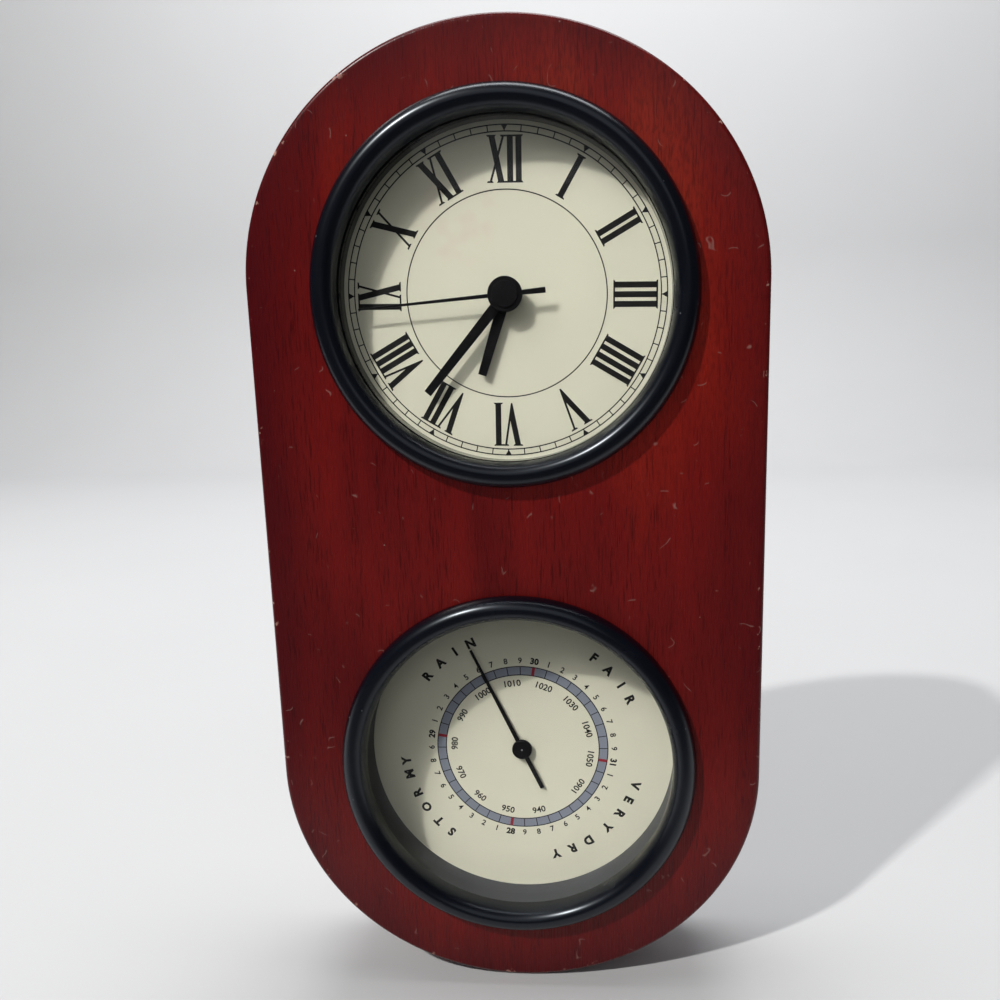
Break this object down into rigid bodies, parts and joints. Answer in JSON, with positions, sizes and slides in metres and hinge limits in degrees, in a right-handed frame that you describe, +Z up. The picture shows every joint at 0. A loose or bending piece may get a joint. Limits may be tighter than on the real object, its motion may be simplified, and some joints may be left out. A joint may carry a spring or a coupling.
{
  "type": "wall weather station clock",
  "caption": "Wooden wall board with straight sides and rounded ends, holding a quartz clock above an aneroid barometer, each behind glass in a black bezel.",
  "frame": {"origin": "centre of the board's back face, which lies on the wall", "axes": "+X to the right seen from the front, +Y into the wall, +Z up towards the clock"},
  "size_m": [0.152, 0.037, 0.295],
  "materials": {
    "stained_wood": "satin cherry stain under clear lacquer",
    "black_bezel": "satin blue-black paint",
    "lens_glass": "clear",
    "gloss_ring": "polished black",
    "satin_ring": "satin grey-black",
    "dial_card": "matt cream, printed in black",
    "black_hand": "black painted",
    "black_plastic": "fine matt",
    "nylon": "moulded",
    "rubber": "matt",
    "brass": "milled",
    "capsule_metal": "rolled",
    "steel": "brushed",
    "copper_wire": "enamelled copper wire",
    "circuit_green": "solder mask",
    "battery_sleeve": "plain shrink sleeve"
  },
  "bodies": {
    "station": {"wood_board": "stained_wood", "sawtooth_hanger": "steel", "hanger_nail_left": "steel", "hanger_nail_right": "steel", "clock_bezel": "black_bezel", "clock_lens": "lens_glass", "clock_spacer_ring": "gloss_ring", "clock_dial": "dial_card", "clock_grip_band": "rubber", "clock_housing": "black_plastic", "movement_front_case": "black_plastic", "movement_back_cover": "black_plastic", "stator": "steel", "coil_core": "steel", "coil_bobbin": "nylon", "coil_winding": "copper_wire", "circuit_board": "circuit_green", "quartz_crystal": "steel", "battery": "battery_sleeve", "battery_contact_positive": "steel", "battery_contact_negative": "steel", "barometer_bezel": "black_bezel", "barometer_lens": "lens_glass", "barometer_spacer_ring": "satin_ring", "barometer_dial": "dial_card", "barometer_grip_band": "rubber", "capsule_carrier": "steel", "mechanism_base": "brass", "barometer_housing": "black_plastic", "base_screw_left": "steel", "base_screw_right": "steel", "movement_front_plate": "brass", "movement_back_plate": "brass", "movement_pillar_left": "brass", "movement_pillar_right": "brass", "hairspring": "steel", "hairspring_stud": "brass", "rocker_bracket_left": "brass", "rocker_bracket_right": "brass", "aneroid_capsule": "capsule_metal"},
    "minute_drive": {"cannon_pinion": "brass", "minute_hand": "black_hand"},
    "hour_drive": {"hour_wheel": "nylon", "hour_hand": "black_hand"},
    "motion_drive": {"motion_wheel": "nylon"},
    "setting_drive": {"setting_arbor": "nylon", "setting_knob": "black_plastic"},
    "second_drive": {"second_wheel": "nylon", "second_hand": "black_hand"},
    "intermediate_drive": {"intermediate_wheel": "nylon"},
    "rotor_drive": {"rotor": "steel"},
    "third_drive": {"third_wheel": "nylon"},
    "centre_drive": {"centre_wheel": "brass", "clutch_washer": "steel"},
    "sector_drive": {"sector": "brass"},
    "pointer_drive": {"pointer_arbor": "brass", "pointer": "black_hand"},
    "rocker_drive": {"rocker": "steel"},
    "capsule_drive": {"capsule_stud": "brass"},
    "calibration_drive": {"calibration_screw": "brass"}
  },
  "joints": [
    {"name": "minute_turn", "type": "hinge", "parent": "station", "child": "minute_drive", "pos_m": [0, -0.0282, 0.073], "axis": [0, 1, 0], "continuous": true},
    {"name": "hour_turn", "type": "hinge", "parent": "station", "child": "hour_drive", "pos_m": [0, -0.0271, 0.073], "axis": [0, 1, 0], "continuous": true},
    {"name": "motion_turn", "type": "hinge", "parent": "station", "child": "motion_drive", "pos_m": [-0.00789, -0.0225, 0.07013], "axis": [0, 1, 0], "continuous": true},
    {"name": "setting_turn", "type": "hinge", "parent": "station", "child": "setting_drive", "pos_m": [-0.01617, -0.0067, 0.07159], "axis": [0, 1, 0], "continuous": true},
    {"name": "second_turn", "type": "hinge", "parent": "station", "child": "second_drive", "pos_m": [0, -0.0296, 0.073], "axis": [0, 1, 0], "continuous": true},
    {"name": "intermediate_turn", "type": "hinge", "parent": "station", "child": "intermediate_drive", "pos_m": [-0.00778, -0.0147, 0.08078], "axis": [0, 1, 0], "continuous": true},
    {"name": "rotor_turn", "type": "hinge", "parent": "station", "child": "rotor_drive", "pos_m": [-0.01315, -0.0125, 0.08615], "axis": [0, 1, 0], "continuous": true},
    {"name": "third_turn", "type": "hinge", "parent": "station", "child": "third_drive", "pos_m": [0.00778, -0.018, 0.08078], "axis": [0, 1, 0], "continuous": true},
    {"name": "centre_turn", "type": "hinge", "parent": "station", "child": "centre_drive", "pos_m": [0, -0.0195, 0.073], "axis": [0, 1, 0], "continuous": true},
    {"name": "sector_turn", "type": "hinge", "parent": "station", "child": "sector_drive", "pos_m": [0.00631, -0.0159, -0.08201], "axis": [0, 1, 0], "range_deg": [-12.4, 14.6]},
    {"name": "pointer_turn", "type": "hinge", "parent": "station", "child": "pointer_drive", "pos_m": [0, -0.0197, -0.073], "axis": [0, 1, 0], "range_deg": [-146.1, 124.1]},
    {"name": "rocker_turn", "type": "hinge", "parent": "station", "child": "rocker_drive", "pos_m": [0, -0.0117, -0.08201], "axis": [1, 0, 0], "range_deg": [-9.8, 8.4]},
    {"name": "capsule_travel", "type": "slide", "parent": "station", "child": "capsule_drive", "axis": [0, 1, 0], "range_m": [-0.00103, 0.00088]},
    {"name": "calibration_turn", "type": "hinge", "parent": "station", "child": "calibration_drive", "pos_m": [0, -0.001, -0.1005], "axis": [0, 1, 0], "range_deg": [-180, 180]}
  ],
  "couplings": [
    {"joint": "hour_turn", "follows": "minute_turn", "ratio": 0.083333},
    {"joint": "motion_turn", "follows": "minute_turn", "ratio": -0.33333},
    {"joint": "setting_turn", "follows": "minute_turn", "ratio": 1},
    {"joint": "intermediate_turn", "follows": "second_turn", "ratio": -5},
    {"joint": "rotor_turn", "follows": "second_turn", "ratio": 30},
    {"joint": "third_turn", "follows": "second_turn", "ratio": -0.125},
    {"joint": "centre_turn", "follows": "second_turn", "ratio": 0.016667},
    {"joint": "pointer_turn", "follows": "sector_turn", "ratio": -10},
    {"joint": "rocker_turn", "follows": "sector_turn", "ratio": -0.6667},
    {"joint": "capsule_travel", "follows": "sector_turn", "m_per_rad": -0.004}
  ]
}
